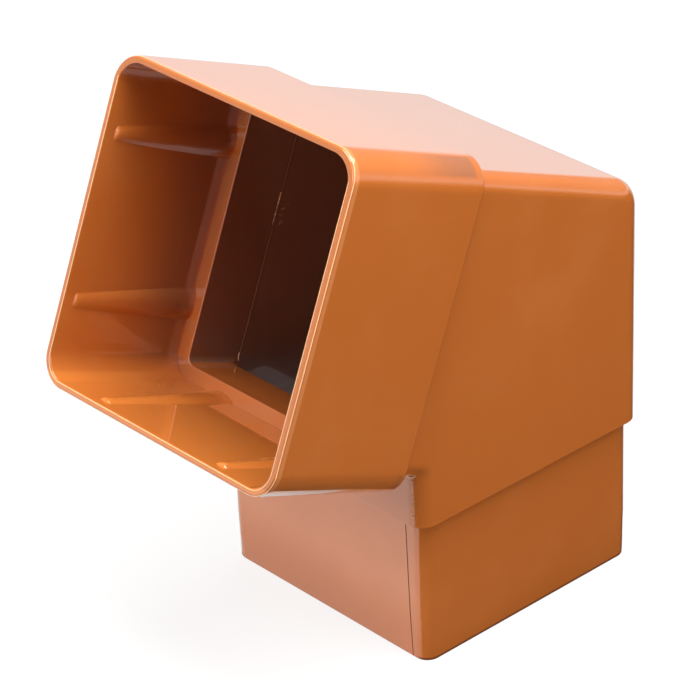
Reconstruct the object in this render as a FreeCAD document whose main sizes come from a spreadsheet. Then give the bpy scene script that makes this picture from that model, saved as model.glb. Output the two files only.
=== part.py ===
# Downspout elbow, moulded in one piece: a square socket on a mitred body on a square spigot.
import FreeCAD, Part
import math
import os
import Sketcher

os.makedirs("parts", exist_ok=True)
doc = FreeCAD.newDocument("downspout_elbow")

# Driving sizes in millimetres, with the one angle in degrees
sheet = doc.addObject("Spreadsheet::Sheet", "Sizes")
sizes = [
    ("tilt", 22.5, "rise of the socket's axis above the horizontal"),
    ("axis_height", 85.5, "crossing of the two axes above the foot"),
    ("body_width", 81.0, "outside of the body, across and deep"),
    ("body_radius", 5.0, "long outside edges of the body"),
    ("body_forward", 0.6, "body's axis ahead of the spigot's"),
    ("heel_radius", 9.0, "outer corner of the bend"),
    ("heel_bore_radius", 5.0, "inside of that corner"),
    ("throat_radius", 0.8, "outside of the inner corner"),
    ("spigot_step", 2.25, "spigot inside the body's outline, on each side"),
    ("spigot_radius", 4.2, "long outside edges of the spigot"),
    ("spigot_length", 43.0, "foot to the shoulder that stops in the pipe's end"),
    ("lead_length", 14.0, "tapered end of the spigot"),
    ("lead_taper", 0.3, "taken off each side at the foot"),
    ("spigot_wall", 1.45, "wall of the spigot; its bore runs on up into the bend"),
    ("bore_radius", 2.4, "long inside edges of both bores"),
    ("ceiling_wall", 3.7, "wall above the upright bore"),
    ("socket_step", 3.75, "socket outside the body's outline, on each side"),
    ("socket_radius", 8.3, "long outside edges of the socket"),
    ("socket_back", 37.0, "socket's shoulder from the crossing"),
    ("socket_mouth", 83.4, "mouth from the crossing"),
    ("socket_wall", 2.0, "wall at the mouth"),
    ("socket_bore_radius", 6.8, "long inside edges of the socket"),
    ("socket_draft", 0.7, "how far each inside wall closes in down to the ledge"),
    ("ledge_place", 39.3, "ledge that stops the pipe, from the crossing"),
    ("leg_wall", 3.0, "wall of the socket's leg at the ledge"),
    ("leg_draft", 0.3, "how far each wall of that leg closes in down to the seam"),
    ("seam_place", 21.3, "seam of the two bores, from the crossing"),
    ("rim_length", 2.2, "slight chamfer round the outside of the mouth"),
    ("rim_taper", 0.35, "taken off each side at the mouth"),
    ("rim_radius", 0.6, "outer edge of the mouth"),
    ("shoulder_radius", 0.8, "back edge of the socket"),
    ("edge_radius", 0.35, "fine edges"),
    ("rib_spacing", 44.6, "between the two guide ribs on a wall"),
    ("rib_setback", 3.4, "mouth to the tip of a rib"),
    ("rib_root_width", 9.6, "rib at the ledge"),
    ("rib_root_height", 1.55, "rib at the ledge"),
    ("rib_neck_width", 4.4, "rib where its blunt nose begins"),
    ("rib_neck_height", 0.8, "rib where its blunt nose begins"),
    ("rib_nose_width", 3.2, "rib's tip"),
    ("rib_nose_height", 0.25, "rib's tip"),
    ("rib_nose_length", 0.6, "slope of the tip"),
    ("overlap", 1.5, "how far a hidden end runs on into its neighbour"),
]
for row, (name, value, note) in enumerate(sizes, 1):
    sheet.set("A%d" % row, name)
    sheet.set("B%d" % row, str(value))
    sheet.setAlias("B%d" % row, name)
    sheet.set("C%d" % row, note)
doc.recompute()


def size(name):
    return float(sheet.get(name))


# Directions of the socket's leg: outward along its axis, and up across it
slope = math.radians(size("tilt"))
outward = FreeCAD.Vector(0, -math.cos(slope), math.sin(slope))
across = FreeCAD.Vector(0, math.sin(slope), math.cos(slope))
crossing = FreeCAD.Vector(0, -size("body_forward"), size("axis_height"))


def in_leg(along, up):
    """Side view place of a point given along the socket's axis and above it."""
    place = crossing + outward * along + across * up
    return FreeCAD.Vector(place.y, place.z, 0)


def along_leg(point):
    return (point - crossing).dot(outward)


def above_leg(point):
    return (point - crossing).dot(across)


# Sketch helpers
def origin_plane(body, role):
    return next(plane for plane in body.Origin.OriginFeatures if plane.Role == role)


def sketch_on(body, name, plane, height=None):
    sketch = body.newObject("Sketcher::SketchObject", name)
    sketch.AttachmentSupport = [(plane, "")]
    sketch.MapMode = "FlatFace"
    if height:
        sketch.setExpression("AttachmentOffset.Base.z", height)
    return sketch


def relate(sketch, *constraint):
    return sketch.addConstraint(Sketcher.Constraint(*constraint))


def bind(sketch, formula, *constraint):
    index = relate(sketch, *constraint)
    sketch.setExpression("Constraints[%d]" % index, formula)


def closed_outline(sketch, points):
    """Straight sides through the points, numbered on from what the sketch holds."""
    first = sketch.GeometryCount
    count = len(points)
    for k in range(count):
        sketch.addGeometry(Part.LineSegment(points[k], points[(k + 1) % count]), False)
    for k in range(count):
        relate(sketch, "Coincident", first + k, 2, first + (k + 1) % count, 1)
    return [first + k for k in range(count)]


def leg_axes(sketch, reach):
    """Construction lines: the body's upright axis, then the socket's axis."""
    low = FreeCAD.Vector(crossing.y, 0, 0)
    sketch.addGeometry(Part.LineSegment(low, in_leg(0, 0)), True)
    sketch.addGeometry(Part.LineSegment(in_leg(0, 0), in_leg(reach, 0)), True)
    relate(sketch, "Coincident", 0, 2, 1, 1)
    relate(sketch, "Vertical", 0)
    relate(sketch, "PointOnObject", 0, 1, -1)
    bind(sketch, "Sizes.body_forward", "DistanceX", 0, 1, -1, 1, size("body_forward"))
    bind(sketch, "Sizes.axis_height", "DistanceY", 0, 1, 0, 2, size("axis_height"))
    bind(sketch, "(180 - Sizes.tilt) * 1 deg", "Angle", 1, math.pi - slope)


def rounded_square(sketch, half, half_formula, radius, radius_formula):
    """Four sides and four corner arcs about the sketch's origin."""
    for k in range(4):
        turn = FreeCAD.Rotation(FreeCAD.Vector(0, 0, 1), 90 * k)
        start = turn.multVec(FreeCAD.Vector(radius - half, -half, 0))
        end = turn.multVec(FreeCAD.Vector(half - radius, -half, 0))
        centre = turn.multVec(FreeCAD.Vector(half - radius, radius - half, 0))
        circle = Part.Circle(centre, FreeCAD.Vector(0, 0, 1), radius)
        angle = math.radians(90 * k - 90)
        sketch.addGeometry(Part.LineSegment(start, end), False)
        sketch.addGeometry(Part.ArcOfCircle(circle, angle, angle + math.pi / 2), False)
    for k in range(4):
        side, corner = 2 * k, 2 * k + 1
        relate(sketch, "Tangent", side, 2, corner, 1)
        relate(sketch, "Tangent", corner, 2, (side + 2) % 8, 1)
    for corner in (3, 5, 7):
        relate(sketch, "Equal", 1, corner)
    for level, upright in ((0, 2), (4, 6)):
        relate(sketch, "Horizontal", level)
        relate(sketch, "Vertical", upright)
    relate(sketch, "Symmetric", 1, 3, 5, 3, -1, 1)
    bind(sketch, radius_formula, "Radius", 1, radius)
    bind(sketch, half_formula, "DistanceX", -1, 1, 2, 1, half)
    bind(sketch, half_formula, "DistanceY", 0, 1, -1, 1, half)


# Feature helpers
def pad(body, name, sketch, length, both_ways=False, backward=False, taper=None):
    feature = body.newObject("PartDesign::Pad", name)
    feature.Profile = sketch
    feature.setExpression("Length", length)
    feature.Midplane = both_ways
    feature.Reversed = backward
    if taper:
        feature.setExpression("TaperAngle", taper)
    sketch.Visibility = False
    doc.recompute()
    return feature


def pocket(body, name, sketch, length, taper):
    """A pocket that narrows with depth, and has to cut most of its straight prism."""
    before = body.Tip.Shape.Volume
    feature = body.newObject("PartDesign::Pocket", name)
    feature.Profile = sketch
    feature.setExpression("Length", length)
    feature.setExpression("TaperAngle", taper)
    sketch.Visibility = False
    doc.recompute()
    cut = (before - feature.Shape.Volume) / Part.Face(sketch.Shape).Area
    if not 0.9 * float(feature.Length) < cut < float(feature.Length):
        raise RuntimeError("%s does not narrow into the solid" % name)
    return feature


def middle(edge):
    return edge.valueAt((edge.FirstParameter + edge.LastParameter) / 2)


def round_edges(body, name, radius, wanted):
    """Fillet of the body's tip on each edge whose middle passes the test."""
    base = body.Tip
    found = []
    for index, edge in enumerate(base.Shape.Edges, 1):
        if wanted(middle(edge)):
            found.append("Edge%d" % index)
    feature = body.newObject("PartDesign::Fillet", name)
    feature.Base = (base, found)
    feature.setExpression("Radius", radius)
    doc.recompute()
    return feature


def near(value, target):
    return abs(value - target) < 0.01


def on_square(right, up, half, radius):
    """Whether a place lies on the outline of a rounded square about the origin."""
    reach = [max(abs(value) - half + radius, 0) for value in (right, up)]
    return near(math.hypot(*reach), radius)


# Half widths: each is a value here and a formula for the sketches
half_body = size("body_width") / 2
half_socket = half_body + size("socket_step")
half_mouth = half_socket - size("socket_wall")
half_leg = half_body - size("leg_wall")
half_spigot = half_body - size("spigot_step")
half_bore = half_spigot - size("spigot_wall")
body_half = "Sizes.body_width / 2"
socket_half = body_half + " + Sizes.socket_step"
mouth_half = socket_half + " - Sizes.socket_wall"
leg_half = body_half + " - Sizes.leg_wall"
spigot_half = body_half + " - Sizes.spigot_step"
bore_half = spigot_half + " - Sizes.spigot_wall"

# Shell: everything that the mould's outside and the socket's core form
shell = doc.addObject("PartDesign::Body", "shell")
leg_end = size("socket_back") + size("overlap")
back = crossing.y + half_body
front = crossing.y - half_body
heel = -half_body * (1 - math.sin(slope)) / math.cos(slope)
shoulder = size("spigot_length")

side_view = sketch_on(shell, "body_side", origin_plane(shell, "YZ_Plane"))
leg_axes(side_view, leg_end)
sides = closed_outline(side_view, [
    FreeCAD.Vector(back, shoulder, 0),
    in_leg(heel, half_body),
    in_leg(leg_end, half_body),
    in_leg(leg_end, -half_body),
    in_leg(-heel, -half_body),
    FreeCAD.Vector(front, shoulder, 0),
])
rear_side, top_side, end_side, under_side, front_side, low_side = sides
for upright in (rear_side, front_side):
    relate(side_view, "Vertical", upright)
for slanted in (top_side, under_side):
    relate(side_view, "Parallel", slanted, 1)
relate(side_view, "Horizontal", low_side)
relate(side_view, "Perpendicular", end_side, 1)
relate(side_view, "PointOnObject", 1, 2, end_side)
bind(side_view, "Sizes.socket_back + Sizes.overlap", "Distance", 1, leg_end)
for side in (rear_side, front_side, top_side, under_side):
    bind(side_view, body_half, "Distance", 0, 2, side, half_body)
bind(side_view, "Sizes.spigot_length", "DistanceY", -1, 1, low_side, 1, shoulder)
pad(shell, "body_block", side_view, "Sizes.body_width", both_ways=True)

heel_point = in_leg(heel, half_body)
throat_point = in_leg(-heel, -half_body)
round_edges(shell, "heel_round", "Sizes.heel_radius",
            lambda p: near(p.y, heel_point.x) and near(p.z, heel_point.y))
round_edges(shell, "throat_round", "Sizes.throat_radius",
            lambda p: near(p.y, throat_point.x) and near(p.z, throat_point.y))
round_edges(shell, "body_round", "Sizes.body_radius",
            lambda p: near(abs(p.x), half_body) and not near(p.z, shoulder)
            and not near(along_leg(p), leg_end))
round_edges(shell, "stop_round", "Sizes.edge_radius", lambda p: near(p.z, shoulder))

# Socket, on planes square to its axis
leg_plane = shell.newObject("PartDesign::Plane", "leg_plane")
leg_plane.AttachmentSupport = [(origin_plane(shell, "XY_Plane"), "")]
leg_plane.MapMode = "FlatFace"
lean = FreeCAD.Rotation(FreeCAD.Vector(1, 0, 0), 90 - size("tilt"))
leg_plane.AttachmentOffset = FreeCAD.Placement(crossing, lean)
leg_plane.setExpression("AttachmentOffset.Base.y", "-Sizes.body_forward")
leg_plane.setExpression("AttachmentOffset.Base.z", "Sizes.axis_height")
leg_plane.setExpression("AttachmentOffset.Rotation.Angle", "(90 - Sizes.tilt) * 1 deg")
leg_plane.Visibility = False
doc.recompute()

socket_sketch = sketch_on(shell, "socket_section", leg_plane, "Sizes.socket_back")
rounded_square(socket_sketch, half_socket, socket_half,
               size("socket_radius"), "Sizes.socket_radius")
pad(shell, "socket_block", socket_sketch,
    "Sizes.socket_mouth - Sizes.rim_length - Sizes.socket_back")
rim_sketch = sketch_on(shell, "rim_section", leg_plane, "Sizes.socket_mouth - Sizes.rim_length")
rounded_square(rim_sketch, half_socket, socket_half,
               size("socket_radius"), "Sizes.socket_radius")
pad(shell, "rim_lead", rim_sketch, "Sizes.rim_length",
    taper="-atan(Sizes.rim_taper / Sizes.rim_length)")
socket_back, socket_mouth = size("socket_back"), size("socket_mouth")
round_edges(shell, "shoulder_round", "Sizes.shoulder_radius",
            lambda p: near(along_leg(p), socket_back)
            and on_square(p.x, above_leg(p), half_socket, size("socket_radius")))
round_edges(shell, "rim_round", "Sizes.rim_radius",
            lambda p: near(along_leg(p), socket_mouth))

# Spigot: a straight length, and a tapered lead down to the foot
spigot_sketch = sketch_on(shell, "spigot_section", origin_plane(shell, "XY_Plane"),
                          "Sizes.lead_length")
rounded_square(spigot_sketch, half_spigot, spigot_half,
               size("spigot_radius"), "Sizes.spigot_radius")
pad(shell, "spigot_block", spigot_sketch,
    "Sizes.spigot_length - Sizes.lead_length + Sizes.overlap")
pad(shell, "spigot_lead", spigot_sketch, "Sizes.lead_length", backward=True,
    taper="-atan(Sizes.lead_taper / Sizes.lead_length)")

# Inside of the socket and of its leg, each closing in a little with depth
mouth_sketch = sketch_on(shell, "mouth_section", leg_plane, "Sizes.socket_mouth")
rounded_square(mouth_sketch, half_mouth, mouth_half,
               size("socket_bore_radius"), "Sizes.socket_bore_radius")
pocket(shell, "socket_bore", mouth_sketch, "Sizes.socket_mouth - Sizes.ledge_place",
       "-atan(Sizes.socket_draft / (Sizes.socket_mouth - Sizes.ledge_place))")
ledge_sketch = sketch_on(shell, "ledge_section", leg_plane, "Sizes.ledge_place")
rounded_square(ledge_sketch, half_leg, leg_half,
               size("bore_radius"), "Sizes.bore_radius")
pocket(shell, "leg_hollow", ledge_sketch, "Sizes.ledge_place - Sizes.seam_place",
       "-atan(Sizes.leg_draft / (Sizes.ledge_place - Sizes.seam_place))")
ledge_place = size("ledge_place")
half_foot = half_spigot - size("lead_taper")
round_edges(shell, "ledge_round", "Sizes.edge_radius",
            lambda p: near(along_leg(p), ledge_place)
            and on_square(p.x, above_leg(p), half_leg, size("bore_radius")))
round_edges(shell, "mouth_round", "Sizes.edge_radius",
            lambda p: near(along_leg(p), socket_mouth)
            and on_square(p.x, above_leg(p), half_mouth, size("socket_bore_radius")))
round_edges(shell, "foot_round", "Sizes.edge_radius",
            lambda p: near(p.z, 0) and max(abs(p.x), abs(p.y)) > half_foot - 0.01)

# Guide ribs that centre the pipe: one on the floor, its mirror, and three turns of both
draft_formula = "Sizes.socket_draft / (Sizes.socket_mouth - Sizes.ledge_place)"
wall_formula = mouth_half + " - %s * " + draft_formula


def rib_section(name, place, depth_formula, depth, width_name, height_name):
    """A low arch that stands on the socket's floor and runs on into the wall."""
    sketch = sketch_on(shell, name, leg_plane, place)
    width, height = size(width_name), size(height_name)
    radius = (width * width / 4 + height * height) / (2 * height)
    middle_x = size("rib_spacing") / 2
    draft = size("socket_draft") / (socket_mouth - ledge_place)
    floor = draft * depth - half_mouth
    centre = FreeCAD.Vector(middle_x, floor + height - radius, 0)
    swing = math.asin(width / 2 / radius)
    left, right = middle_x - width / 2, middle_x + width / 2
    buried = floor - size("socket_wall") / 2
    corners = [FreeCAD.Vector(left, floor, 0), FreeCAD.Vector(left, buried, 0),
               FreeCAD.Vector(right, buried, 0), FreeCAD.Vector(right, floor, 0)]
    arch = Part.Circle(centre, FreeCAD.Vector(0, 0, 1), radius)
    sketch.addGeometry(Part.ArcOfCircle(arch, math.pi / 2 - swing, math.pi / 2 + swing), False)
    for k in range(3):
        sketch.addGeometry(Part.LineSegment(corners[k], corners[k + 1]), False)
    for first, second in ((0, 1), (1, 2), (2, 3), (3, 0)):
        relate(sketch, "Coincident", first, 2, second, 1)
    relate(sketch, "Horizontal", 2)
    for upright in (1, 3):
        relate(sketch, "Vertical", upright)
    relate(sketch, "Equal", 1, 3)
    bind(sketch, "Sizes." + width_name, "DistanceX", 2, 1, 2, 2, width)
    bind(sketch, "Sizes.rib_spacing / 2", "DistanceX", -1, 1, 0, 3, middle_x)
    formula = "(Sizes.{0} ^ 2 / 4 + Sizes.{1} ^ 2) / (2 * Sizes.{1})"
    bind(sketch, formula.format(width_name, height_name), "Radius", 0, radius)
    bind(sketch, "Sizes.socket_wall / 2", "DistanceY", 1, 2, 1, 1, floor - buried)
    bind(sketch, wall_formula % depth_formula, "DistanceY", 1, 1, -1, 1, -floor)
    return sketch


def rib_loft(name, first, last):
    loft = shell.newObject("PartDesign::AdditiveLoft", name)
    loft.Profile = first
    loft.Sections = [last]
    loft.Ruled = True
    for sketch in (first, last):
        sketch.Visibility = False
    return loft


setback, nose_length = size("rib_setback"), size("rib_nose_length")
mouth_formula = "Sizes.socket_mouth - Sizes.rib_setback"
root = rib_section("rib_root", "Sizes.ledge_place", "(Sizes.socket_mouth - Sizes.ledge_place)",
                   socket_mouth - ledge_place, "rib_root_width", "rib_root_height")
neck = rib_section("rib_neck", mouth_formula + " - Sizes.rib_nose_length",
                   "(Sizes.rib_setback + Sizes.rib_nose_length)", setback + nose_length,
                   "rib_neck_width", "rib_neck_height")
nose = rib_section("rib_nose", mouth_formula, "Sizes.rib_setback", setback,
                   "rib_nose_width", "rib_nose_height")
rib = rib_loft("rib", root, neck)
rib_end = rib_loft("rib_end", neck, nose)
mirrored = shell.newObject("PartDesign::Mirrored", "rib_mirror")
mirrored.MirrorPlane = (origin_plane(shell, "YZ_Plane"), [""])
turned = shell.newObject("PartDesign::PolarPattern", "rib_turns")
turned.Axis = (root, ["N_Axis"])
turned.Angle = 360
turned.Occurrences = 4
ribs = shell.newObject("PartDesign::MultiTransform", "ribs")
ribs.Originals = [rib, rib_end]
ribs.Transformations = [mirrored, turned]
shell.Tip = ribs
doc.recompute()

# Core of the spigot and the upright leg: it ends at the seam and under the ceiling
core = doc.addObject("PartDesign::Body", "spigot_core")
overlap = size("overlap")
seam = size("seam_place")
ceiling = half_body - size("ceiling_wall")
low_line = size("leg_draft") + overlap - half_leg


def on_leg_line(up, away):
    """Side view place on a line along the leg, level with a given y."""
    along = (crossing.y - away + up * math.sin(slope)) / math.cos(slope)
    return in_leg(along, up)


core_view = sketch_on(core, "core_side", origin_plane(core, "YZ_Plane"))
leg_axes(core_view, seam)
core_sides = closed_outline(core_view, [
    FreeCAD.Vector(half_bore, -overlap, 0),
    on_leg_line(ceiling, half_bore),
    in_leg(seam, ceiling),
    in_leg(seam, low_line),
    on_leg_line(low_line, -half_bore),
    FreeCAD.Vector(-half_bore, -overlap, 0),
])
rear_side, top_side, seam_side, under_side, front_side, low_side = core_sides
for upright in (rear_side, front_side):
    relate(core_view, "Vertical", upright)
for slanted in (top_side, under_side):
    relate(core_view, "Parallel", slanted, 1)
relate(core_view, "Horizontal", low_side)
relate(core_view, "Perpendicular", seam_side, 1)
relate(core_view, "PointOnObject", 1, 2, seam_side)
bind(core_view, "Sizes.seam_place", "Distance", 1, seam)
bind(core_view, body_half + " - Sizes.ceiling_wall", "Distance", 0, 2, top_side, ceiling)
bind(core_view, leg_half + " - Sizes.leg_draft - Sizes.overlap", "Distance",
     0, 2, under_side, -low_line)
bind(core_view, bore_half, "DistanceX", -1, 1, low_side, 2, half_bore)
bind(core_view, bore_half, "DistanceX", low_side, 1, -1, 1, half_bore)
bind(core_view, "Sizes.overlap", "DistanceY", low_side, 2, -1, 1, overlap)
pad(core, "core_block", core_view, "2 * (%s)" % bore_half, both_ways=True)
core_heel = on_leg_line(ceiling, half_bore)
round_edges(core, "core_heel", "Sizes.heel_bore_radius",
            lambda p: near(p.y, core_heel.x) and near(p.z, core_heel.y))
round_edges(core, "core_round", "Sizes.bore_radius",
            lambda p: near(abs(p.x), half_bore) and not near(p.z, -overlap)
            and not near(along_leg(p), seam) and not near(above_leg(p), low_line))

# The finished elbow: the shell less that core
elbow = doc.addObject("Part::Cut", "elbow")
elbow.Base = shell
elbow.Tool = core
elbow.Label = "elbow"
doc.recompute()

# Every object is sound, and the part is one solid, before it is written
for item in doc.Objects:
    if "Invalid" in item.State or "Error" in item.State:
        raise RuntimeError("%s has failed" % item.Label)
parts = [elbow]
for item in parts:
    shape = item.Shape
    if shape.isNull() or not shape.isValid() or len(shape.Solids) != 1:
        raise RuntimeError("%s is not one sound solid" % item.Label)
for item in parts:
    item.Shape.exportStep("parts/%s.step" % item.Label)
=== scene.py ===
import math
import random

import bmesh
import bpy
from mathutils import Matrix, Vector
from mathutils.bvhtree import BVHTree


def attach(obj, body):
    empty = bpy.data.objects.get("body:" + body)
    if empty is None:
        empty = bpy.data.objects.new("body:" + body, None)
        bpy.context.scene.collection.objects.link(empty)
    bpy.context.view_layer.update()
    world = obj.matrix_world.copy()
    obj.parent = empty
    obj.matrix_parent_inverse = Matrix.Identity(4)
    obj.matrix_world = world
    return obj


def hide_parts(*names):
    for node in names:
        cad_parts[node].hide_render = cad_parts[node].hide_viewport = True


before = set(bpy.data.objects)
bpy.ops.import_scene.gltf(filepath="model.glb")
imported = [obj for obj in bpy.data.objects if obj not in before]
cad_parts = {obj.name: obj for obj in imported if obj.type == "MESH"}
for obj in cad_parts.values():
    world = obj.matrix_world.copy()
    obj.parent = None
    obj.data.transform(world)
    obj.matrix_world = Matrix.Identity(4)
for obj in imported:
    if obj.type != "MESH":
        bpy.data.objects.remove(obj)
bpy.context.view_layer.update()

mm = 0.001
shown = bpy.context.scene


# The leg that carries the socket: its own directions, as the solid has them
leg = {
    "tilt": math.radians(22.5),      # rise of the socket's axis
    "forward": 0.6 * mm,             # crossing of the axes, ahead of the spigot's axis
    "height": 85.5 * mm,             # the same crossing above the foot
}
legOut = Vector((0, -math.cos(leg["tilt"]), math.sin(leg["tilt"])))
legUp = Vector((0, math.sin(leg["tilt"]), math.cos(leg["tilt"])))
legStart = Vector((0, -leg["forward"], leg["height"]))


def inLeg(side, along, up):          # a place from its side, its way out and its height, in mm
    return legStart + Vector((side * mm, 0, 0)) + legOut * along * mm + legUp * up * mm


# Shader sums: a wire is one output socket, and a sum of wires adds its Math nodes
class Wire:
    def __init__(self, tree, socket=None):
        self.tree = tree
        self.socket = socket

    def node(self, kind, settings=None, values=None, out=0):
        made = self.tree.nodes.new(kind)
        for name, value in (settings or {}).items():
            setattr(made, name, value)
        for name, value in (values or {}).items():
            if isinstance(value, Wire):
                self.tree.links.new(value.socket, made.inputs[name])
            else:
                made.inputs[name].default_value = value
        return Wire(self.tree, made.outputs[out] if made.outputs else None)

    def beside(self, out):               # another output of the same node
        return Wire(self.tree, self.socket.node.outputs[out])

    def parts(self):                     # x, y and z of a place or a way
        split = self.node("ShaderNodeSeparateXYZ", None, {"Vector": self})
        return [split.beside(axis) for axis in "XYZ"]

    def maths(self, operation, *values):
        return self.node("ShaderNodeMath", {"operation": operation}, dict(enumerate(values)))

    def __add__(self, other):
        return self.maths("ADD", self, other)

    def __sub__(self, other):
        return self.maths("SUBTRACT", self, other)

    def __rsub__(self, other):
        return self.maths("SUBTRACT", other, self)

    def __mul__(self, other):
        return self.maths("MULTIPLY", self, other)

    def __truediv__(self, other):
        return self.maths("DIVIDE", self, other)

    __radd__ = __add__
    __rmul__ = __mul__

    def size(self):
        return self.maths("ABSOLUTE", self)

    def most(self, other):
        return self.maths("MAXIMUM", self, other)

    def step(self, none, full):          # 0 at the first value, 1 at the second, smooth between
        low, high = sorted((none, full))
        share = self.node("ShaderNodeMapRange", {"interpolation_type": "SMOOTHSTEP"},
                          {"Value": self, "From Min": low, "From Max": high})
        return share if none < full else 1 - share

    def mixed(self, first, second):      # the wire is the share of the second colour
        return self.node("ShaderNodeMix", {"data_type": "RGBA"},
                         {0: self, 6: first, 7: second}, out=2)

    def noise(self, scale, detail, rough):   # the wire is the place
        return self.node("ShaderNodeTexNoise", None,
                         {"Vector": self, "Scale": scale, "Detail": detail, "Roughness": rough})

    def around(self, other, wide, tall):     # distance beyond a rectangle of these half sides
        aside, above = (self.size() - wide).most(0), (other.size() - tall).most(0)
        return self.maths("SQRT", aside * aside + above * above)

    def stretched(self, x, y, z, turn=(0, 0, 0)):
        return self.node("ShaderNodeMapping", None,
                         {"Vector": self, "Rotation": turn, "Scale": (x, y, z)})


def newMaterial(name):
    material = bpy.data.materials.new(name)
    material.use_nodes = True
    tree = material.node_tree
    tree.nodes.clear()
    return material, Wire(tree)


def places(tree):                    # object place as a vector, and its x, y and z in mm
    place = tree.node("ShaderNodeTexCoord", out="Object")
    return place, [part / mm for part in place.parts()]


def rays(tree):                      # 1 for what the camera sees, and 1 for what gloss mirrors
    seen = tree.node("ShaderNodeLightPath", out="Is Camera Ray")
    return seen, seen.beside("Is Glossy Ray")


def grey(value):
    return (value, value, value, 1)


# Glossy orange-brown PVC
pvc = {
    "colour": (0.515, 0.138, 0.024, 1),
    "worn": (0.54, 0.155, 0.032, 1),     # faint lighter mottling
    "flash": (0.86, 0.56, 0.30, 1),      # thin flash and burrs, and painted highlights on the lines round the mouth, the lip and the ragged line
    "bore": (0.25, 0.105, 0.058, 1),     # painted shade: duller and browner walls behind the ledge and deep in the socket
    "land": (0.39, 0.112, 0.024, 1),     # painted shade: a darker end of the wall at the mouth
    "band": (0.66, 0.235, 0.078, 1),     # painted light: a lighter band on the chamfer round the mouth
    "socketFloor": (0.64, 0.205, 0.038, 1),  # painted light: the socket's floor a little lighter than the rest
    "edge": (0.10, 0.022, 0.008, 1),     # painted shade: dark lines along the parting fin, at the foot and at the seam
    "haze": (0.42, 0.40, 0.46, 1),       # painted reflection: a pale haze low in the spigot's bore
    "layers": (                          # zone, its colour, and the colour's share
        ("deepWall", "bore", 0.6),
        ("land", "land", 1),
        ("band", "band", 0.8),
        ("ledgeFloor", "bore", 0.35),
        ("socketFloor", "socketFloor", 0.5)),
    "hazeShare": 0.12,                   # shares of the painted reflection and shades
    "lineShare": 0.85,
    "footShare": 0.8,
    "seamShare": 0.25,
    "cloud": (28, 3, 0.55),              # noises: scale, detail and roughness
    "fine": (420, 2, 0.5),
    "drawn": (1.0, 3, 0.6),              # fine draw marks along the leg
    "drawnStretch": (260, 12, 12),
    "hazeStreaks": (1.0, 3, 0.7),                # level streaks in the painted reflection
    "hazeStretch": (60, 60, 420),
    "patchy": (0.42, 0.75),              # where a noise begins to show, and shows in full
    "relief": {"cloud": 0.010, "fine": 0.0012, "drawn": 0.0022,
               "line": -0.06, "mark": -0.012, "plate": 0.006},   # heights in mm
    "roughness": 0.05,
    "rougher": {"cloud": 0.04, "bore": 0.12, "pale": 0.3},   # added to it
    "ior": 1.5,
    "coatRoughness": 0.03,
    "coatIor": 1.55,
    "coatLoss": {"seam": 0.9, "pale": 0.8, "line": 0.9},
    "partLine": (31.4, 32.7),            # its side at the shoulder and at the foot
    "partWidth": (0.20, 0.08),           # distance from its middle: faded, and in full
    "spigotLength": 43,
    "insertMark": {"along": (41.8, 60.8), "up": (-20, 19.5), "corner": 4.5,
                   "line": (0.24, 0.06), "plate": (0.1, -0.1)},  # from its edge: faded, and in full
    "seam": 21.3,                        # where the leg's bore meets the spigot's
    "seamWidth": (0.7, 0.35),
    "rimCore": 36,                       # half the square that the band's corners turn round
    # zones of the skin: a measure in mm, its value just outside the zone and just inside it
    "zones": {
        "spigotBore": (("depth", 37.7, 37.5), ("width", 37.6, 37.4), ("up", 38.8, 38.6),
                       ("diagonal", 73.4, 72.8)),    # the last one keeps the outer corners out
        "legBore": (("along", -2, 0), ("along", 39.2, 38.8), ("height", 38.8, 38.6),
                    ("width", 38.6, 38.4)),
        "legFloor": (("up", -36.6, -37.4), ("along", 20.6, 21.2)),
        "deepWall": (("width", 38.0, 38.8), ("width", 43.4, 42.8), ("up", -40, -36),
                     ("along", 39.6, 40.4), ("along", 66, 44)),
        "land": (("along", 83.1, 83.3),),
        "band": (("beyond", 6.9, 7.3), ("along", 81.3, 81.7), ("along", 82.7, 82.4)),
        "ledgeFloor": (("along", 38.3, 38.7), ("along", 40.1, 39.7), ("up", -36.8, -37.2)),
        "socketFloor": (("up", -43.6, -43.2), ("up", -40.2, -41.0), ("along", 44, 58)),
        "reflectedHaze": (("x", -36.2, -36.5), ("y", -34, -20), ("z", 36, 42), ("z", 54, 44)),
        "spigotFront": (("y", -37.1, -37.3), ("z", 42.9, 42.7)),
        "underFoot": (("z", 1.05, 0.65), ("x", 33, 36)),
        "markSide": (("x", 43.9, 44.1), ("up", -18, -8), ("along", 44, 54)),
    },
}


def skinMeasures(x, y, z):           # from the spigot's axes and from the leg's
    back, over = y + leg["forward"] / mm, z - leg["height"] / mm
    along = over * math.sin(leg["tilt"]) - back * math.cos(leg["tilt"])
    up = back * math.sin(leg["tilt"]) + over * math.cos(leg["tilt"])
    width, depth = x.size(), y.size()
    return {"x": x, "y": y, "z": z, "along": along, "up": up,
            "width": width, "depth": depth, "height": up.size(), "diagonal": width + depth,
            "beyond": x.around(up, pvc["rimCore"], pvc["rimCore"])}


def partingLine(x, z):               # it leans a little over the spigot's length
    top, foot = pvc["partLine"]
    lineAt = foot + z * ((top - foot) / pvc["spigotLength"])
    return (x - lineAt).size().step(*pvc["partWidth"])


def insertMark(along, up):           # outline of a bare mould insert, and the plate inside it
    mark = pvc["insertMark"]
    (low, high), (under, above), corner = mark["along"], mark["up"], mark["corner"]
    wide, tall = (high - low) / 2 - corner, (above - under) / 2 - corner
    edge = (along - (low + high) / 2).around(up - (under + above) / 2, wide, tall) - corner
    return edge.size().step(*mark["line"]), edge.step(*mark["plate"])


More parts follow.
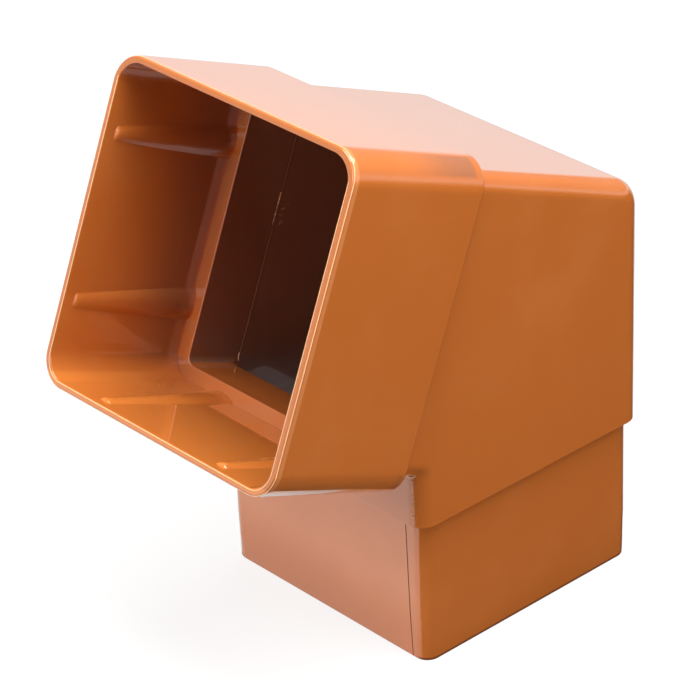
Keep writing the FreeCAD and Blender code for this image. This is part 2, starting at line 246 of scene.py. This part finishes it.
def makePvc():
    material, tree = newMaterial("pvc")
    place, (x, y, z) = places(tree)
    measures = skinMeasures(x, y, z)
    along, up = measures["along"], measures["up"]

    def zone(name):                  # 1 in the zone, 0 outside it
        return math.prod(measures[measure].step(outside, inside)
                         for measure, outside, inside in pvc["zones"][name])

    cloud = place.noise(*pvc["cloud"])
    fine = place.noise(*pvc["fine"])
    drawn = place.stretched(*pvc["drawnStretch"], turn=(leg["tilt"], 0, 0)).noise(*pvc["drawn"])
    reflectedHaze = place.stretched(*pvc["hazeStretch"]).noise(*pvc["hazeStreaks"])
    legBore = zone("legBore")
    inBore = zone("spigotBore").most(legBore) * (1 - zone("legFloor"))
    atSeam = (along - pvc["seam"]).size().step(*pvc["seamWidth"]) * legBore
    line = partingLine(x, z) * zone("spigotFront")
    underFoot = zone("underFoot")
    onSide = zone("markSide")
    mark, plate = (share * onSide for share in insertMark(along, up))
    pale = tree.node("ShaderNodeAttribute", {"attribute_name": "pale"}, out="Fac")

    colour = cloud.step(*pvc["patchy"]).mixed(pvc["colour"], pvc["worn"])
    # painted shade on the walls in the bores
    colour = inBore.mixed(colour, pvc["bore"])
    # painted shade deep in the socket, on the land and on the ledge's floor; painted light on the
    # chamfer band and on the socket's floor
    for name, tint, share in pvc["layers"]:
        colour = (zone(name) * share).mixed(colour, pvc[tint])
    # painted reflection: a pale haze low in the spigot's bore
    haze = reflectedHaze.step(*pvc["patchy"]) * zone("reflectedHaze") * pvc["hazeShare"]
    colour = haze.mixed(colour, pvc["haze"])
    # painted shade: dark lines along the parting fin, at the foot and at the seam
    dark = (line * pvc["lineShare"]).most(underFoot * pvc["footShare"])
    colour = dark.mixed(colour, pvc["edge"])
    colour = (atSeam * pvc["seamShare"]).mixed(colour, pvc["edge"])
    # paler flash and burrs, and painted highlights on the lines round the mouth, the lip and the ragged
    # line
    colour = pale.mixed(colour, pvc["flash"])

    heights = {"cloud": cloud, "fine": fine, "drawn": drawn, "line": line, "mark": mark, "plate": plate}
    relief = sum(height * pvc["relief"][name] for name, height in heights.items())
    bump = tree.node("ShaderNodeBump", None,
                     {"Strength": 1.0, "Distance": mm, "Height": relief}, out="Normal")
    rougher, coatLoss = pvc["rougher"], pvc["coatLoss"]
    roughness = pvc["roughness"] + cloud * rougher["cloud"] + inBore * rougher["bore"]
    coat = (1 - atSeam * coatLoss["seam"]) * (1 - pale * coatLoss["pale"])
    shader = tree.node("ShaderNodeBsdfPrincipled", None, {
        "Base Color": colour,
        "Roughness": roughness + pale * rougher["pale"],
        "Normal": bump,
        "IOR": pvc["ior"],
        "Coat Weight": coat * (1 - underFoot.most(line) * coatLoss["line"]),
        "Coat Roughness": pvc["coatRoughness"],
        "Coat IOR": pvc["coatIor"],
    })
    tree.node("ShaderNodeOutputMaterial", None, {"Surface": shader})
    return material


# The elbow: the solid's own surface, merged and shaded smooth over its rounds
skin = {
    "weld": 0.0005 * mm,
    "sharp": math.radians(50),
    "faceWeight": 100,
}


def makeElbow(material):
    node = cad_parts["elbow"]
    mesh = node.data.copy()
    mesh.name = "elbowSkin"
    shape = bmesh.new()
    shape.from_mesh(mesh)
    bmesh.ops.remove_doubles(shape, verts=shape.verts, dist=skin["weld"])
    for face in shape.faces:
        face.smooth = True
    for edge in shape.edges:
        if edge.is_manifold and edge.calc_face_angle() > skin["sharp"]:
            edge.smooth = False
    skinTree = BVHTree.FromBMesh(shape)
    shape.to_mesh(mesh)
    shape.free()
    if "custom_normal" in mesh.attributes:
        mesh.attributes.remove(mesh.attributes["custom_normal"])
    mesh.materials.clear()
    mesh.materials.append(material)
    piece = bpy.data.objects.new("elbowSkin", mesh)
    shown.collection.objects.link(piece)
    normals = piece.modifiers.new("faceNormals", "WEIGHTED_NORMAL")
    normals.keep_sharp = True
    normals.weight = skin["faceWeight"]
    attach(piece, "root")
    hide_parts("elbow")
    return skinTree


# Fine marks that the mould left, and lines that carry painted highlights, as thin beads sunk into the
# skin. Sizes in mm, with bead for a radius
marks = {
    "rims": ({"half": 43.93, "along": 82.95, "corner": 7.9, "bead": 0.18},
             {"half": 42.50, "along": 83.33, "corner": 6.2, "bead": 0.16}),
    "rimSteps": 40,
    "rimSetback": 0.42,              # of the upper side, to stay below the solid's highest point
    "front": -60,                    # ahead of the front, where a ray to the skin starts
    "fin": {"side": (31.4, 32.7), "height": (42.8, 0.4), "steps": 14, "bead": 0.11},
    "ragged": {"side": 37.2, "height": (43.3, 58.2), "steps": 30, "stray": 0.14, "bead": (0.16, 0.30)},
    "lip": {"side": (35.4, 37.7), "height": (57.9, 58.4), "steps": 6, "front": -46,
            "bead": 0.32, "swell": (0.35, 2.75)},    # thin ends, as a stretch of a sine
    "streak": {"along": 21.4, "up": (10.6, 1.6), "steps": 20, "stray": 0.06,
               "bead": (0.07, 0.30), "thinning": (1, 0.4)},
    "specks": {"count": 9, "before": (0.6, 3.2), "up": (1.5, 7.5), "reach": (0.25, 0.7),
               "slope": 0.5, "beads": (0.04, 0.08, 0.03)},
    "sliver": {"along": 21.4, "up": (-34.4, -36.6), "steps": 5, "bead": 0.16},
    # paleness: a painted highlight on the rims and the lip, partly on the ragged line; the flash and
    # specks' own colour
    "pale": {"rims": 0.60, "fin": 0, "ragged": 0.34, "lip": 0.70, "flash": 0.95, "specks": 0.5},
    "beadSides": 6,
    "seed": 5,
}


def addBead(shape, path, radii, kind, closed=False):     # a tube along a path, in the kind's paleness
    layer = shape.verts.layers.float["pale"]
    known = len(shape.verts)
    steps = []
    for k, place in enumerate(path):
        if closed:
            ahead = path[(k + 1) % len(path)] - path[k - 1]
        else:
            ahead = path[min(k + 1, len(path) - 1)] - path[max(k - 1, 0)]
        turn = ahead.to_track_quat("Z", "Y").to_matrix().to_4x4()
        steps.append(Matrix.Translation(place) @ turn @ Matrix.Scale(radii[k] * mm, 4))
    made = bmesh.ops.create_circle(shape, cap_ends=not closed, segments=marks["beadSides"],
                                   radius=1, matrix=steps[0])
    verts = made["verts"]
    first = ring = list({edge for vert in verts for edge in vert.link_edges})
    for before, after in zip(steps, steps[1:]):
        drawn = bmesh.ops.extrude_edge_only(shape, edges=ring)["geom"]
        verts = [part for part in drawn if isinstance(part, bmesh.types.BMVert)]
        ring = [part for part in drawn if isinstance(part, bmesh.types.BMEdge)
                and all(vert in verts for vert in part.verts)]
        bmesh.ops.transform(shape, matrix=after @ before.inverted(), verts=verts)
    if closed:
        bmesh.ops.bridge_loops(shape, edges=first + ring)
    else:
        bmesh.ops.edgeloop_fill(shape, edges=ring)
    shape.verts.ensure_lookup_table()
    for vert in shape.verts[known:]:
        vert[layer] = marks["pale"][kind]


def spread(start, end, steps):       # even steps from start to end, with both
    return [start + (end - start) * k / steps for k in range(steps + 1)]


def rimPath(half, along, corner):    # a rounded square round the mouth
    path = []
    for turn in range(marks["rimSteps"]):
        angle = math.tau * (turn + 0.5) / marks["rimSteps"]
        side, up = math.cos(angle), math.sin(angle)
        path.append(inLeg(math.copysign(half - corner, side) + corner * side,
                          along - marks["rimSetback"] * max(up, 0),
                          math.copysign(half - corner, up) + corner * up))
    return path


def makeMarks(skinTree, material):
    chance = random.Random(marks["seed"])
    shape = bmesh.new()
    shape.verts.layers.float.new("pale")

    def onFront(side, height, front=marks["front"]):
        return skinTree.ray_cast(Vector((side, front, height)) * mm, Vector((0, 1, 0)))[0]

    def onFarWall(along, up):
        return skinTree.ray_cast(inLeg(0, along, up), Vector((-1, 0, 0)))[0]

    # lines round the mouth, at the outer and the inner edge of its land, pale as painted highlights
    for rim in marks["rims"]:
        path = rimPath(rim["half"], rim["along"], rim["corner"])
        addBead(shape, path, [rim["bead"]] * len(path), "rims", closed=True)

    # parting line down the front of the spigot
    fin = marks["fin"]
    sides, heights = spread(*fin["side"], fin["steps"]), spread(*fin["height"], fin["steps"])
    path = [onFront(side, height) for side, height in zip(sides, heights)]
    addBead(shape, path, [fin["bead"]] * len(path), "fin")

    # ragged flash up the near corner of the body, pale in part as a painted highlight, and the lip at
    # its upper end, pale as a painted highlight
    ragged = marks["ragged"]
    stray = ragged["stray"]
    path = [onFront(ragged["side"] + chance.uniform(-stray, stray), height)
            for height in spread(*ragged["height"], ragged["steps"])]
    addBead(shape, path, [chance.uniform(*ragged["bead"]) for place in path], "ragged")
    lip = marks["lip"]
    sides, heights = spread(*lip["side"], lip["steps"]), spread(*lip["height"], lip["steps"])
    path = [onFront(side, height, lip["front"]) for side, height in zip(sides, heights)]
    swell = spread(*lip["swell"], lip["steps"])
    addBead(shape, path, [lip["bead"] * math.sin(angle) for angle in swell], "lip")

    # flash at the seam in the bore: a ragged streak, specks beside it and a sliver below
    streak = marks["streak"]
    stray = streak["stray"]
    path = [onFarWall(streak["along"] + chance.uniform(-stray, stray), up)
            for up in spread(*streak["up"], streak["steps"])]
    thinning = spread(*streak["thinning"], streak["steps"])
    addBead(shape, path, [chance.uniform(*streak["bead"]) * share for share in thinning], "flash")
    specks = marks["specks"]
    for k in range(specks["count"]):
        along = streak["along"] - chance.uniform(*specks["before"])
        up = chance.uniform(*specks["up"])
        reach = chance.uniform(*specks["reach"])
        path = [onFarWall(along - reach * j, up + specks["slope"] * reach * j)
                for j in range(len(specks["beads"]))]
        addBead(shape, path, specks["beads"], "specks")
    sliver = marks["sliver"]
    path = [onFarWall(sliver["along"], up) for up in spread(*sliver["up"], sliver["steps"])]
    addBead(shape, path, [sliver["bead"]] * len(path), "flash")

    bmesh.ops.recalc_face_normals(shape, faces=shape.faces)
    for face in shape.faces:
        face.smooth = True
    mesh = bpy.data.meshes.new("mouldMarksAndHighlights")
    shape.to_mesh(mesh)
    shape.free()
    mesh.materials.append(material)
    piece = bpy.data.objects.new("mouldMarksAndHighlights", mesh)
    shown.collection.objects.link(piece)
    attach(piece, "root")


# White studio: a pale floor that keeps the shadow. Gloss mirrors it with a dark cloth on the right
studio = {
    "floorSize": 6.0,
    "floorSeen": 0.95,               # grey of the floor in its own light, to the camera
    "floorBounce": 0.50,             # and as it lights the elbow
    "clothBounce": 0.36,
    "shadow": 0.22,                  # share of the floor's own light that the camera sees
    "corner": (35.8, -37.9),         # in mm: the cloth starts right of here
    "clothTurn": math.radians(3),
    "clothEdge": (0.5, -0.5),        # in mm, from the cloth to the bare floor
    "inside": (38.2, 37.2),          # in mm, half the square that the spigot shuts off
    "near": (-62, -42),              # in mm, where the floor in front turns into the near one
    "reach": 900,                    # in mm, of the cloth
    "clothFade": (1, 2),             # squared distance, in squared reaches
    "farFade": (1 / 9, 1),
    "clothShade": 0.02,              # grey of the cloth in the gloss
    "wallShade": 0.36,               # of the walls
    "nearShade": 0.70,               # of the floor close to the spigot
    "insideShade": 0.30,             # of the floor seen down the bore
    "farShade": 0.84,                # of the floor far from the elbow
    "ambient": 0.03,                 # light that the walls throw on the elbow
    "windowWay": (0.9, -0.4),        # the walls are bright on this side, in the gloss
    "windowEdge": (0.2, 0.7),
    "lowEdge": (0.2, 0),             # and low down
    "lowShare": 0.8,
}


def makeFloor():
    shape = bmesh.new()
    bmesh.ops.create_grid(shape, x_segments=1, y_segments=1, size=studio["floorSize"] / 2)
    mesh = bpy.data.meshes.new("floor")
    shape.to_mesh(mesh)
    shape.free()
    material, tree = newMaterial("floor")
    x, y = places(tree)[1][:2]
    seen, glossy = rays(tree)
    cornerX, cornerY = studio["corner"]
    turn = studio["clothTurn"]
    side = (x - cornerX) * math.cos(turn) + (y - cornerY) * math.sin(turn)
    offCloth = side.step(*studio["clothEdge"])
    away = (x * x + y * y) / studio["reach"] ** 2
    cloth, wall, near, inside, far = (
        grey(studio[name])
        for name in ("clothShade", "wallShade", "nearShade", "insideShade", "farShade"))

    right = away.step(*studio["clothFade"]).mixed(cloth, wall)
    left = y.step(*studio["near"]).mixed(grey(1), near)
    left = away.step(*studio["farFade"]).mixed(left, far)
    shut = x.size().step(*studio["inside"]) * y.size().step(*studio["inside"])
    mirroredColour = shut.mixed(offCloth.mixed(right, left), inside)
    ground = offCloth.mixed(grey(studio["clothBounce"]), grey(studio["floorBounce"]))
    own = tree.node("ShaderNodeBsdfDiffuse", None,
                    {"Color": seen.mixed(ground, grey(studio["floorSeen"]))})
    glow = tree.node("ShaderNodeEmission", None, {"Color": grey(1), "Strength": 1.0})
    mirrored = tree.node("ShaderNodeEmission", None, {"Color": mirroredColour, "Strength": 1.0})
    lit = tree.node("ShaderNodeMixShader", None,
                    {0: seen * (1 - studio["shadow"]), 1: own, 2: glow})
    whole = tree.node("ShaderNodeMixShader", None, {0: glossy, 1: lit, 2: mirrored})
    tree.node("ShaderNodeOutputMaterial", None, {"Surface": whole})
    mesh.materials.append(material)
    floor = bpy.data.objects.new("floor", mesh)
    shown.collection.objects.link(floor)


def makeWorld():
    world = bpy.data.worlds.new("studio")
    world.use_nodes = True
    world.node_tree.nodes.clear()
    shown.world = world
    tree = Wire(world.node_tree)
    seen, glossy = rays(tree)
    x, y, z = tree.node("ShaderNodeTexCoord", out="Generated").parts()
    wayX, wayY = studio["windowWay"]
    window = (x * wayX + y * wayY).step(*studio["windowEdge"])
    window = window.most(z.step(*studio["lowEdge"]) * studio["lowShare"])
    walls = studio["wallShade"] + window * (1 - studio["wallShade"])
    strength = seen + (1 - seen) * (glossy * walls + (1 - glossy) * studio["ambient"])
    backdrop = tree.node("ShaderNodeBackground", None, {"Color": grey(1), "Strength": strength})
    tree.node("ShaderNodeOutputWorld", None, {"Surface": backdrop})


# Soft lamps. Each shows as light on the elbow, as a highlight in its gloss, or as both
lampTarget = Vector((0, 0, 0.08))
lamps = {
    "overhead": {"at": (0.00, 0.00, 1.00), "size": 0.64, "power": 8.2, "shows": "both"},
    "near": {"at": (0.12, -0.08, 0.50), "size": 0.30, "power": 1.7, "shows": "light"},
    "right": {"at": (0.63, 0.20, 0.69), "size": 0.60, "power": 5.6, "shows": "light"},
    "front": {"at": (-0.15, -0.74, 0.55), "size": 0.30, "power": 5.2, "shows": "light"},
    "left": {"at": (-0.60, -0.70, 0.15), "size": 0.60, "power": 3.3, "shows": "light"},
    "gleam": {"at": (0.42, -0.72, 0.72), "size": 0.45, "power": 1.9, "shows": "gloss"},
    "rimGleam": {"at": (0.24, 0.71, 0.82), "size": 0.42, "power": 2.8, "shows": "gloss"},
}


def makeLamps():
    for name, lamp in lamps.items():
        data = bpy.data.lights.new(name, "AREA")
        data.shape = "SQUARE"
        data.size = lamp["size"]
        data.energy = lamp["power"]
        light = bpy.data.objects.new(name, data)
        light.location = lamp["at"]
        aim = lampTarget - light.location
        light.rotation_euler = aim.to_track_quat("-Z", "Y").to_euler()
        light.visible_glossy = lamp["shows"] != "light"
        light.visible_diffuse = lamp["shows"] != "gloss"
        light.visible_camera = False
        shown.collection.objects.link(light)


# Camera: the photograph's own place and turn, found from the elbow's edges
camera = {
    "at": (0.581396, -0.544758, 0.517345),
    "turn": (60.3657, 1.8269, 47.2793),
    "lens": 177.878,
    "sensor": 36,
    "clipStart": 0.05,
}


def makeCamera():
    data = bpy.data.cameras.new("photoView")
    data.lens = camera["lens"]
    data.sensor_width = camera["sensor"]
    data.clip_start = camera["clipStart"]
    view = bpy.data.objects.new("photoView", data)
    view.location = camera["at"]
    view.rotation_euler = [math.radians(angle) for angle in camera["turn"]]
    shown.collection.objects.link(view)
    shown.camera = view


makeCamera()
makeWorld()
makeLamps()
makeFloor()
print("studio set up")
pvcMaterial = makePvc()
skinTree = makeElbow(pvcMaterial)
print("elbow dressed")
makeMarks(skinTree, pvcMaterial)
print("mould marks laid on")

shown.view_settings.view_transform = "Standard"
